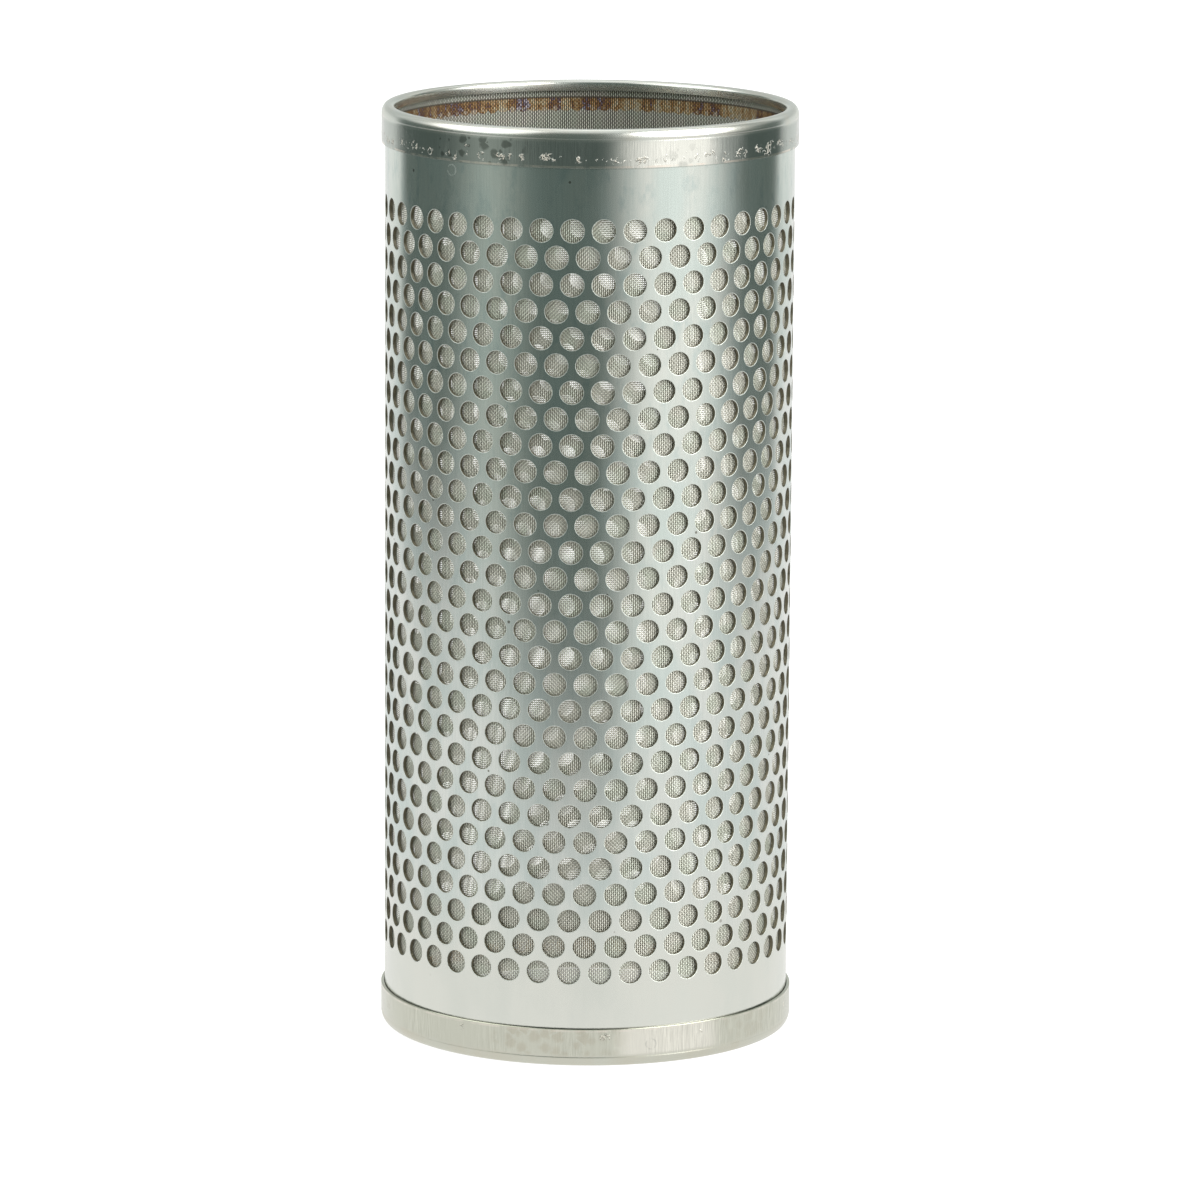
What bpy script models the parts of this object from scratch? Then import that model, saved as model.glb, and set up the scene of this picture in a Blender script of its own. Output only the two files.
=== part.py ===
"""Line strainer: a perforated steel tube lined with woven wire cloth, bound at each end by a folded ring.

Run it with blender --background --python part.py, or from Blender's text editor.
Lengths are in metres and +Z is up. The origin is the centre of the bottom end. The front is at -Y,
and the tube's welded seam is behind, a little to the right.
"""

import math

import bmesh
import bpy
from mathutils import Vector
from mathutils.geometry import delaunay_2d_cdt

MM = 0.001

# The whole strainer
OVERALL_LENGTH = 194.3 * MM
SEAT_GAP = 0.25 * MM  # between sheets that lie on each other
ROUND_SEGMENTS = 48  # flats round the liner and the rings

# Perforated tube
TUBE_OUTER_RADIUS = 42.5 * MM
TUBE_SHEET = 0.7 * MM
END_MARGIN = 19.8 * MM  # least height of a hole's centre over the strainer's end
SEAM_LAND = 5.5 * MM  # least unpunched width that runs straight down the welded seam
SEAM_ANGLE = math.radians(156)  # where the seam is, from -Y towards +X

# The real sheet has round holes in a triangular pattern, too many to cut here, so both the hole
# and its pitch are made larger by one factor. The open share of the sheet stays as it is.
PUNCH_DIAMETER = 4.76 * MM
PUNCH_PITCH = 6.35 * MM
PUNCH_COARSENING = 2.0
HOLE_SIDES = 8

# Woven wire liner, two crossing wires thick
LINER_WIRE = 0.16 * MM

# End rings, each folded from one strip into a channel that holds the ends of tube and liner
RING_SHEET = 0.45 * MM
RING_FLANGE = 7.8 * MM  # outer leg, over the tube
RING_LIP = 2.2 * MM  # inner leg, inside the liner
FLANGE_BEND = 0.75 * MM  # inside radius of the rounded outer fold
LIP_BEND = 0.25 * MM  # inside radius of the sharper inner fold
FLANGE_GAP = 0.3 * MM  # between the tube and the outer leg
FOLD_SEGMENTS = 2

# Sizes that follow
HOLE_DIAMETER = PUNCH_DIAMETER * PUNCH_COARSENING
HOLE_PITCH = PUNCH_PITCH * PUNCH_COARSENING
ROW_SPACING = HOLE_PITCH * math.sin(math.radians(60))
LINER_OUTER_RADIUS = TUBE_OUTER_RADIUS - TUBE_SHEET - SEAT_GAP
LINER_INNER_RADIUS = LINER_OUTER_RADIUS - 2 * LINER_WIRE
RING_OUTER_RADIUS = TUBE_OUTER_RADIUS + FLANGE_GAP + RING_SHEET
RING_INNER_RADIUS = LINER_INNER_RADIUS - SEAT_GAP - RING_SHEET
SHEET_END = RING_SHEET + max(FLANGE_BEND, SEAT_GAP)  # tube and liner stop where the flange's fold starts


def clear_scene():
    """Removes every object that the scene holds."""
    for obj in list(bpy.data.objects):
        bpy.data.objects.remove(obj, do_unlink=True)


def steel(name, colour, roughness):
    """A bare stainless steel finish."""
    material = bpy.data.materials.new(name)
    material.use_nodes = True
    shader = material.node_tree.nodes["Principled BSDF"]
    shader.inputs["Base Color"].default_value = (*colour, 1.0)
    shader.inputs["Metallic"].default_value = 1.0
    shader.inputs["Roughness"].default_value = roughness
    return material


def add_piece(name, bm, material):
    """Makes a named object of a bmesh, with its faces outwards and its round faces smooth."""
    bmesh.ops.recalc_face_normals(bm, faces=bm.faces)
    mesh = bpy.data.meshes.new(name)
    bm.to_mesh(mesh)
    bm.free()
    mesh.materials.append(material)
    mesh.shade_smooth()
    mesh.set_sharp_from_angle(angle=math.radians(30))
    obj = bpy.data.objects.new(name, mesh)
    bpy.context.collection.objects.link(obj)
    return obj


def turned(profile):
    """Spins a closed outline of (radius, height) points all the way round Z."""
    bm = bmesh.new()
    corners = [bm.verts.new((radius, 0, height)) for radius, height in profile]
    sides = [bm.edges.new(pair) for pair in zip(corners, corners[1:] + corners[:1])]
    bmesh.ops.spin(
        bm,
        geom=corners + sides,
        cent=(0, 0, 0),
        axis=(0, 0, 1),
        angle=math.tau,
        steps=ROUND_SEGMENTS,
        use_merge=True,
    )
    return bm


def hole_rows():
    """The hole centres on the flat sheet, as a list of rows of (across, height) from the bottom.

    Neighbouring rows stand half a pitch apart, a quarter each way, so the land at the seam is as
    wide in all of them.
    """
    girth = math.tau * TUBE_OUTER_RADIUS
    per_row = 1 + math.floor((girth - SEAM_LAND - HOLE_DIAMETER - HOLE_PITCH / 2) / HOLE_PITCH)
    spaces = math.floor((OVERALL_LENGTH - 2 * END_MARGIN) / ROW_SPACING)
    lowest = (OVERALL_LENGTH - spaces * ROW_SPACING) / 2
    rows = []
    for row in range(spaces + 1):
        shift = HOLE_PITCH / 4 if row % 2 == 0 else -HOLE_PITCH / 4
        first = shift - HOLE_PITCH * (per_row - 1) / 2
        height = lowest + row * ROW_SPACING
        rows.append([Vector((first + column * HOLE_PITCH, height)) for column in range(per_row)])
    return rows


def hole_corners():
    """A hole's corners about its centre, with the area of the round hole that they stand for.

    A side, not a corner, faces the neighbours in the same row.
    """
    turn = math.tau / HOLE_SIDES
    round_area = math.pi * HOLE_DIAMETER**2 / 4
    radius = math.sqrt(2 * round_area / (HOLE_SIDES * math.sin(turn)))
    angles = [turn * (side + 0.5) for side in range(HOLE_SIDES)]
    return [Vector((radius * math.cos(angle), radius * math.sin(angle))) for angle in angles]


def spaced(start, end, step):
    """Even values from start to end, about one step apart, both ends included."""
    count = max(1, round(abs(end - start) / step))
    return [start + (end - start) * i / count for i in range(count + 1)]


def punched_blank():
    """The flat sheet with its holes, as (points, triangles), before it is rolled."""
    rows = hole_rows()
    edge = math.pi * TUBE_OUTER_RADIUS
    bottom = SHEET_END
    top = OVERALL_LENGTH - SHEET_END
    lowest = rows[0][0].y
    highest = rows[-1][0].y

    # Both seam edges have the same heights, so that they close point to point.
    across = spaced(-edge, edge, HOLE_PITCH / 2)
    below = spaced(bottom, lowest, ROW_SPACING)[1:-1]
    above = spaced(highest, top, ROW_SPACING)[1:-1]
    beside = [row[0].y + ROW_SPACING / 2 for row in rows[:-1]]
    heights = below + beside + above
    outline = [Vector((u, bottom)) for u in across]
    outline += [Vector((edge, v)) for v in heights]
    outline += [Vector((u, top)) for u in reversed(across)]
    outline += [Vector((-edge, v)) for v in reversed(heights)]

    points = list(outline)
    loops = [list(range(len(outline)))]
    corners = hole_corners()
    for centre in (centre for row in rows for centre in row):
        loops.append(list(range(len(points), len(points) + HOLE_SIDES)))
        points += [centre + corner for corner in corners]

    # Where no hole breaks up the sheet, these points let it bend in short flats.
    points += [Vector((u, v)) for v in below + above for u in across[1:-1]]
    for row in rows:
        skipped = (row[0].x - HOLE_PITCH, row[-1].x + HOLE_PITCH)
        points += [Vector((u, row[0].y)) for u in skipped if abs(u) < edge - HOLE_PITCH / 8]

    triangles_inside_outline_outside_holes = 2
    made = delaunay_2d_cdt(points, [], loops, triangles_inside_outline_outside_holes, MM * 1e-6)
    return made[0], made[2]


def perforated_tube(finish):
    """The punched blank with its thickness, rolled round Z and closed along the seam."""
    points, triangles = punched_blank()
    bm = bmesh.new()
    corners = [bm.verts.new((point.x, 0, point.y)) for point in points]
    for triangle in triangles:
        bm.faces.new([corners[index] for index in triangle])
    drawn = bmesh.ops.extrude_face_region(bm, geom=bm.faces[:])["geom"]
    inner = [item for item in drawn if isinstance(item, bmesh.types.BMVert)]
    bmesh.ops.translate(bm, verts=inner, vec=(0, TUBE_SHEET, 0))

    edge = math.pi * TUBE_OUTER_RADIUS - MM * 1e-3
    seam = [face for face in bm.faces if all(abs(vert.co.x) > edge for vert in face.verts)]
    bmesh.ops.delete(bm, geom=seam, context="FACES")
    for vert in bm.verts:
        angle = vert.co.x / TUBE_OUTER_RADIUS + SEAM_ANGLE - math.pi
        radius = TUBE_OUTER_RADIUS - vert.co.y
        vert.co = Vector((radius * math.sin(angle), -radius * math.cos(angle), vert.co.z))
    bmesh.ops.remove_doubles(bm, verts=bm.verts, dist=MM * 1e-2)
    return add_piece("perforated_tube", bm, finish)


def mesh_liner(finish):
    """The wire cloth, rolled into a sleeve that lies inside the tube along its whole length."""
    bottom = SHEET_END
    top = OVERALL_LENGTH - SHEET_END
    section = [
        (LINER_OUTER_RADIUS, bottom),
        (LINER_OUTER_RADIUS, top),
        (LINER_INNER_RADIUS, top),
        (LINER_INNER_RADIUS, bottom),
    ]
    return add_piece("mesh_liner", turned(section), finish)


def channel_side(depth):
    """One side of the ring's folded strip, from the foot of the flange to the foot of the lip.

    Heights are measured from the strainer's end, into it. The side lies at the given depth under
    the strip's outer face.
    """
    quarter = math.pi / 2
    folds = (
        (RING_OUTER_RADIUS - RING_SHEET - FLANGE_BEND, FLANGE_BEND, 0),
        (RING_INNER_RADIUS + RING_SHEET + LIP_BEND, LIP_BEND, quarter),
    )
    side = [(RING_OUTER_RADIUS - depth, RING_FLANGE)]
    for centre, bend, start in folds:
        radius = bend + RING_SHEET - depth
        for step in range(FOLD_SEGMENTS + 1):
            angle = start + quarter * step / FOLD_SEGMENTS
            height = bend + RING_SHEET - radius * math.sin(angle)
            side.append((centre + radius * math.cos(angle), height))
    side.append((RING_INNER_RADIUS + depth, RING_LIP))
    return side


def end_ring(name, finish, at_top):
    """A ring folded into a channel: flange outside the tube, flat land at the end, lip inside."""
    section = channel_side(0) + channel_side(RING_SHEET)[::-1]
    if at_top:
        section = [(radius, OVERALL_LENGTH - depth) for radius, depth in section]
    return add_piece(name, turned(section), finish)


def main():
    """Builds the four pieces where they sit in the strainer."""
    clear_scene()
    perforated_tube(steel("punched_steel", colour=(0.56, 0.60, 0.58), roughness=0.32))
    mesh_liner(steel("wire_cloth", colour=(0.50, 0.49, 0.46), roughness=0.45))
    ring_steel = steel("ring_steel", colour=(0.62, 0.60, 0.56), roughness=0.38)
    end_ring("bottom_ring", ring_steel, at_top=False)
    end_ring("top_ring", ring_steel, at_top=True)


if __name__ == "__main__":
    main()
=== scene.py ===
"""Dresses the line strainer: punched tube, woven wire liner, folded end rings, studio and camera.

Lengths are in metres, +Z is up and the front is at -Y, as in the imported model. Where a name ends in
_mm its numbers are millimetres, which the patterns in the finishes are worked out in.
"""

import logging
import math
import random
from dataclasses import dataclass, field
from enum import Enum

import bmesh
import bpy
from mathutils import Matrix, Vector


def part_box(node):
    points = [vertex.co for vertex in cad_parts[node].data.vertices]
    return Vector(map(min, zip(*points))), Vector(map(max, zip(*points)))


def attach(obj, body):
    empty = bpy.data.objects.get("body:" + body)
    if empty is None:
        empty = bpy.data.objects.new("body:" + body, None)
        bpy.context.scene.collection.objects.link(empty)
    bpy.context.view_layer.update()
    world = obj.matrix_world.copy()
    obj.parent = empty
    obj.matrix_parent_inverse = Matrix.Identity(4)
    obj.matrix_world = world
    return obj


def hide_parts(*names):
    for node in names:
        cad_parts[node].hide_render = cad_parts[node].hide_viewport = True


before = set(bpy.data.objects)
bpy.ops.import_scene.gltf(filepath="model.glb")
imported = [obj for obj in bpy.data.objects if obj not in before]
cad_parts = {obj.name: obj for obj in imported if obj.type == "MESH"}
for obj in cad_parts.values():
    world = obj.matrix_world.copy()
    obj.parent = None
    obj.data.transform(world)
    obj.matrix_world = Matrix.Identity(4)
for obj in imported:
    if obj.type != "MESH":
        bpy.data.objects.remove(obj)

log = logging.getLogger("line_strainer")
MM = 0.001
LENGTH_MM = 194.3
FLANGE_MM = 7.8
WEAVE_RADIUS_MM = 41.7
BODY = "root"

Colour = tuple[float, float, float]
Socket = bpy.types.NodeSocket
Feed = float | tuple | Socket


class End(Enum):
    """The two ends of the strainer."""

    BOTTOM = "bottom"
    TOP = "top"


class Slot(Enum):
    """The record's material slots."""

    TUBE = "punched_sheet"
    CLOTH = "wire_cloth"
    RING = "ring_sheet"


# Shader wiring


class Wiring:
    """Places nodes in one shader tree and joins them."""

    def __init__(self, tree: bpy.types.NodeTree) -> None:
        """Takes the tree to fill."""
        self.tree = tree

    def add(self, kind: str, settings: dict | None = None, feeds: dict | None = None) -> bpy.types.Node:
        """Adds a node.

        Args:
            kind: the node's Blender type, without its ShaderNode prefix.
            settings: attributes to set on the node.
            feeds: what each input, by name or number, is given.

        Returns:
            The new node.
        """
        node = self.tree.nodes.new("ShaderNode" + kind)
        for name, value in (settings or {}).items():
            setattr(node, name, value)
        for name, value in (feeds or {}).items():
            self.feed(node.inputs[name], value)
        return node

    def feed(self, socket: Socket, value: Feed) -> None:
        """Joins a link to a socket, or sets its number, vector or colour.

        Args:
            socket: the input to feed.
            value: a socket to link, or a plain value.
        """
        if isinstance(value, Socket):
            self.tree.links.new(value, socket)
        elif isinstance(value, tuple) and socket.type == "RGBA" and len(value) == 3:
            socket.default_value = (*value, 1.0)
        else:
            socket.default_value = value

    def sum(self, operation: str, *values: Feed, clamp: bool = False) -> Socket:
        """One Math node on one to three values."""
        node = self.add("Math", {"operation": operation, "use_clamp": clamp}, dict(enumerate(values)))
        return node.outputs[0]

    def vector(self, operation: str, *values: Feed, scale: Feed | None = None) -> Socket:
        """One Vector Math node, whose vector comes back.

        Args:
            operation: the node's operation.
            values: what its vector inputs are given.
            scale: what its Scale input is given, if it has one.

        Returns:
            The node's vector.
        """
        node = self.add("VectorMath", {"operation": operation}, dict(enumerate(values)))
        if scale is not None:
            self.feed(node.inputs["Scale"], scale)
        return node.outputs["Vector"]

    def blend(self, share: Feed, first: Feed, second: Feed, mode: str = "MIX") -> Socket:
        """Mixes two colours by a share of the second.

        Args:
            share: how much of the second colour there is.
            first: the first colour.
            second: the second colour.
            mode: how the second is laid on the first.

        Returns:
            The mixed colour.
        """
        node = self.add("Mix", {"data_type": "RGBA", "blend_type": mode})
        for socket, value in ((node.inputs[0], share), (node.inputs[6], first), (node.inputs[7], second)):
            self.feed(socket, value)
        return node.outputs[2]

    def rise(self, value: Feed, low: Feed, high: Feed, start: float = 0.0, end: float = 1.0) -> Socket:
        """A smooth rise from start to end while the value goes from low to high."""
        feeds = {"Value": value, "From Min": low, "From Max": high, "To Min": start, "To Max": end}
        return self.add("MapRange", {"interpolation_type": "SMOOTHSTEP"}, feeds).outputs[0]

    def noise(self, place: Socket, scale: float, detail: float = 2.0, rough: float = 0.5) -> Socket:
        """Cloudy noise from 0 to 1."""
        feeds = {"Vector": place, "Scale": scale, "Detail": detail, "Roughness": rough}
        return self.add("TexNoise", None, feeds).outputs[0]

    def apart(self, first: Feed, second: Feed) -> Socket:
        """How far one place is from another."""
        return self.add("VectorMath", {"operation": "DISTANCE"}, {0: first, 1: second}).outputs["Value"]

    def chance(self, number: Feed) -> Socket:
        """A random number from 0 to 1 that belongs to the given one."""
        return self.add("TexWhiteNoise", {"noise_dimensions": "1D"}, {"W": number}).outputs["Value"]

    def stretched(self, place: Socket, factors: Colour) -> Socket:
        """The place with each axis scaled."""
        return self.vector("MULTIPLY", place, factors)

    def band(self, value: Feed, low: float, high: float, soft: float) -> Socket:
        """1 between low and high, falling to 0 over the soft width outside them.

        Args:
            value: what is measured.
            low: where the band starts.
            high: where it ends.
            soft: how wide its edges are.

        Returns:
            The share, from 0 to 1.
        """
        up = self.rise(value, low - soft, low)
        down = self.rise(value, high, high + soft, 1.0, 0.0)
        return self.sum("MULTIPLY", up, down)


def new_group(name: str, inputs: dict[str, float | Colour], outputs: dict[str, str]) -> tuple:
    """Starts a shader node group.

    Args:
        name: the group's name.
        inputs: each input's default, a number or a vector.
        outputs: each output's socket type.

    Returns:
        The group's tree, its wiring, its input node's sockets and its output node.
    """
    tree = bpy.data.node_groups.new(name, "ShaderNodeTree")
    for label, default in inputs.items():
        kind = "NodeSocketVector" if isinstance(default, tuple) else "NodeSocketFloat"
        tree.interface.new_socket(label, in_out="INPUT", socket_type=kind).default_value = default
    for label, kind in outputs.items():
        tree.interface.new_socket(label, in_out="OUTPUT", socket_type=kind)
    start = tree.nodes.new("NodeGroupInput")
    finish = tree.nodes.new("NodeGroupOutput")
    return tree, Wiring(tree), start.outputs, finish


def strainer_place() -> bpy.types.NodeTree:
    """Group: where a point is round the strainer and up it, in millimetres, and which way is round.

    Returns:
        The group, with outputs Place, Around, Height and Along.
    """
    kinds = {"Place": "Vector", "Around": "Float", "Height": "Float", "Along": "Vector"}
    tree, wire, _, out = new_group("strainer_place", {}, {k: "NodeSocket" + v for k, v in kinds.items()})
    spot = wire.add("TexCoord").outputs["Object"]
    place = wire.vector("SCALE", spot, scale=1000.0)
    axes = wire.add("SeparateXYZ", None, {0: place}).outputs
    angle = wire.sum("ARCTAN2", axes["X"], wire.sum("MULTIPLY", axes["Y"], -1.0))
    along = wire.vector("CROSS_PRODUCT", (0.0, 0.0, 1.0), wire.stretched(place, (1.0, 1.0, 0.0)))
    for label, value in (
        ("Place", place),
        ("Around", wire.sum("MULTIPLY", angle, WEAVE_RADIUS_MM)),
        ("Height", axes["Z"]),
        ("Along", wire.vector("NORMALIZE", along)),
    ):
        wire.feed(out.inputs[label], value)
    return tree


def plain_weave() -> bpy.types.NodeTree:
    """Group: plain woven wire cloth, with round wires that pass over and under each other.

    Returns:
        The group. It is given Around, Height, Along and Out (the bare surface's normal), with Pitch,
        Wire, Crimp, Sink, how much lower the cross wires lie than the upright ones, and Relief, how
        round the wires look. It puts out Cover, Lift (0 in the gaps to 1 on the knuckles) and Normal.
    """
    inputs = {"Around": 0.0, "Height": 0.0, "Pitch": 0.41, "Wire": 0.16, "Crimp": 0.5, "Sink": 0.5}
    inputs |= {"Relief": 0.25, "Along": (1.0, 0.0, 0.0), "Out": (0.0, 0.0, 1.0)}
    outputs = {"Cover": "NodeSocketFloat", "Lift": "NodeSocketFloat", "Normal": "NodeSocketVector"}
    tree, wire, given, out = new_group("plain_weave", inputs, outputs)
    half = wire.sum("DIVIDE", wire.sum("DIVIDE", given["Wire"], 2.0), given["Pitch"])
    wires = []
    steps = [wire.sum("DIVIDE", given[side], given["Pitch"]) for side in ("Around", "Height")]
    for step, other, turn in ((steps[0], steps[1], 1.0), (steps[1], steps[0], -1.0)):
        number = wire.sum("FLOOR", step)
        aside = wire.sum("SUBTRACT", wire.sum("SUBTRACT", step, number), 0.5)
        side = wire.sum("DIVIDE", aside, half)
        inside = wire.sum("LESS_THAN", wire.sum("ABSOLUTE", side), 1.0)
        flat = wire.sum("SUBTRACT", 1.0, wire.sum("MULTIPLY", side, side))
        crown = wire.sum("SQRT", wire.sum("MAXIMUM", flat, 0.0))
        phase = wire.sum("MULTIPLY", wire.sum("ADD", wire.sum("SUBTRACT", other, 0.5), number), math.pi)
        swing = wire.sum("MULTIPLY", wire.sum("COSINE", phase), turn)
        slope = wire.sum("MULTIPLY", wire.sum("MULTIPLY", wire.sum("SINE", phase), turn), given["Crimp"])
        lift = wire.sum("MULTIPLY_ADD", crown, 0.35, wire.sum("MULTIPLY", swing, 0.65))
        wires.append((inside, wire.sum("MULTIPLY_ADD", inside, 4.0, lift), lift, side, slope, crown))
    upright, cross = wires
    on_top = wire.sum("GREATER_THAN", upright[1], cross[1])

    def chosen(index: int) -> Socket:
        """The value of whichever wire lies on top."""
        feeds = {0: on_top, 2: cross[index], 3: upright[index]}
        return wire.add("Mix", {"data_type": "FLOAT"}, feeds).outputs[0]

    first = wire.add("CombineXYZ", None, {0: upright[3], 1: upright[4], 2: upright[5]}).outputs[0]
    second = wire.add("CombineXYZ", None, {0: cross[4], 1: cross[3], 2: cross[5]}).outputs[0]
    tilt = wire.add("Mix", {"data_type": "VECTOR"})
    for socket, value in ((tilt.inputs[0], on_top), (tilt.inputs[4], second), (tilt.inputs[5], first)):
        wire.feed(socket, value)
    eased = wire.vector("SCALE", tilt.outputs[1], scale=given["Relief"])
    parts = wire.add("SeparateXYZ", None, {0: eased}).outputs
    normal = wire.vector("SCALE", given["Along"], scale=parts["X"])
    normal = wire.vector("ADD", normal, wire.add("CombineXYZ", None, {2: parts["Y"]}).outputs[0])
    normal = wire.vector("ADD", normal, given["Out"])
    wire.feed(out.inputs["Cover"], wire.sum("MAXIMUM", upright[0], cross[0]))
    sunk = wire.sum("MULTIPLY", wire.sum("SUBTRACT", 1.0, on_top), given["Sink"])
    level = wire.sum("SUBTRACT", wire.sum("MULTIPLY_ADD", chosen(2), 0.5, 0.5), sunk)
    wire.feed(out.inputs["Lift"], wire.sum("MAXIMUM", level, 0.0))
    wire.feed(out.inputs["Normal"], wire.vector("NORMALIZE", normal))
    return tree


def handled_sheet() -> bpy.types.NodeTree:
    """Group: what handling leaves on bare sheet steel.

    Returns:
        The group. It is given Place, in millimetres, and puts out Smudge, Streak, Scratch and Speck,
        each from 0 to 1.
    """
    outputs = dict.fromkeys(("Smudge", "Streak", "Scratch", "Speck"), "NodeSocketFloat")
    tree, wire, given, out = new_group("handled_sheet", {"Place": (0.0, 0.0, 0.0)}, outputs)
    place = given["Place"]
    cloudy = wire.noise(wire.stretched(place, (1.0, 1.0, 0.45)), 0.11, 3.0, 0.55)
    wire.feed(out.inputs["Smudge"], wire.rise(cloudy, 0.35, 0.68))
    wire.feed(out.inputs["Streak"], wire.noise(wire.stretched(place, (1.0, 1.0, 0.03)), 2.6, 4.0, 0.6))
    line = wire.noise(wire.stretched(place, (1.0, 1.0, 0.02)), 1.7, 1.0)
    where = wire.noise(place, 0.16, 1.0)
    narrow = wire.band(line, 0.497, 0.503, 0.006)
    wire.feed(out.inputs["Scratch"], wire.sum("MULTIPLY", narrow, wire.rise(where, 0.55, 0.66)))
    cells = wire.add("TexVoronoi", None, {"Vector": place, "Scale": 0.5})
    size = wire.add("SeparateXYZ", None, {0: cells.outputs["Color"]}).outputs["X"]
    reach = wire.rise(size, 0.93, 1.0, 0.0, 0.17)
    speck = wire.rise(cells.outputs["Distance"], reach, wire.sum("ADD", reach, 0.03), 1.0, 0.0)
    wire.feed(out.inputs["Speck"], wire.sum("MULTIPLY", speck, wire.sum("GREATER_THAN", size, 0.93)))
    return tree


def ring_mark() -> bpy.types.NodeTree:
    """Group: the faint broken ring that a tool's round face leaves.

    Returns:
        The group. It is given Place and Centre, in millimetres, Radius and Width, and puts out Share.
    """
    inputs = {"Place": (0.0, 0.0, 0.0), "Centre": (0.0, 0.0, 0.0), "Radius": 1.1, "Width": 0.28}
    tree, wire, given, out = new_group("ring_mark", inputs, {"Share": "NodeSocketFloat"})
    away = wire.apart(given["Place"], given["Centre"])
    off = wire.sum("ABSOLUTE", wire.sum("SUBTRACT", away, given["Radius"]))
    ring = wire.rise(off, 0.0, given["Width"], 1.0, 0.0)
    broken = wire.rise(wire.noise(given["Place"], 1.1, 2.0), 0.36, 0.55)
    wire.feed(out.inputs["Share"], wire.sum("MULTIPLY", ring, broken))
    return tree


def heat_colours() -> bpy.types.NodeTree:
    """Group: the straw, brown, purple and blue that heat leaves on stainless steel.

    Returns:
        The group. It is given Place and Heat, from 0 to 1, and puts out Colour.
    """
    inputs = {"Place": (0.0, 0.0, 0.0), "Heat": 0.0}
    tree, wire, given, out = new_group("heat_colours", inputs, {"Colour": "NodeSocketColor"})
    ramp = wire.add("ValToRGB")
    stops = (
        (0.0, (1.0, 0.92, 0.76)),
        (0.22, (0.92, 0.76, 0.50)),
        (0.42, (0.78, 0.52, 0.26)),
        (0.60, (0.48, 0.27, 0.13)),
        (0.76, (0.30, 0.17, 0.15)),
        (0.88, (0.30, 0.30, 0.50)),
        (0.97, (0.90, 0.84, 0.88)),
    )
    elements = ramp.color_ramp.elements
    while len(elements) < len(stops):
        elements.new(0.5)
    for element, (position, colour) in zip(elements, stops):
        element.position = position
        element.color = (*colour, 1.0)
    uneven = wire.noise(given["Place"], 1.5, 4.0, 0.8)
    swing = wire.sum("MULTIPLY", wire.sum("SUBTRACT", uneven, 0.5), 1.9)
    heat = wire.sum("ADD", given["Heat"], swing, clamp=True)
    wire.feed(ramp.inputs[0], heat)
    wire.feed(out.inputs["Colour"], ramp.outputs[0])
    return tree


@dataclass(frozen=True)
class Effects:
    """The node groups that the finishes share."""

    place: bpy.types.NodeTree = field(default_factory=strainer_place)
    weave: bpy.types.NodeTree = field(default_factory=plain_weave)
    handling: bpy.types.NodeTree = field(default_factory=handled_sheet)
    heat: bpy.types.NodeTree = field(default_factory=heat_colours)
    ring_mark: bpy.types.NodeTree = field(default_factory=ring_mark)


def use_group(wire: Wiring, group: bpy.types.NodeTree, feeds: dict[str, Feed]) -> bpy.types.Node:
    """Places a node group and feeds its inputs by name.

    Args:
        wire: the wiring of the tree to place it in.
        group: the group.
        feeds: what each of its inputs is given, by name.

    Returns:
        The group's node.
    """
    node = wire.add("Group", {"node_tree": group})
    for label, value in feeds.items():
        wire.feed(node.inputs[label], value)
    return node


def end_depth(wire: Wiring, place: bpy.types.bpy_prop_collection) -> Socket:
    """How far a point is from the strainer's nearer end, in millimetres."""
    return wire.sum("MINIMUM", wire.sum("SUBTRACT", LENGTH_MM, place["Height"]), place["Height"])


def new_finish(name: str, roughness: float) -> tuple[bpy.types.Material, Wiring, bpy.types.Node]:
    """Starts a bare metal finish and returns it with its wiring and its shader.

    Args:
        name: the material's name.
        roughness: how rough the bare metal is.

    Returns:
        The material, its wiring and its shader.
    """
    material = bpy.data.materials.new(name)
    material.use_nodes = True
    shader = material.node_tree.nodes["Principled BSDF"]
    shader.inputs["Metallic"].default_value = 1.0
    shader.inputs["Roughness"].default_value = roughness
    return material, Wiring(material.node_tree), shader


# Finishes


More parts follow.
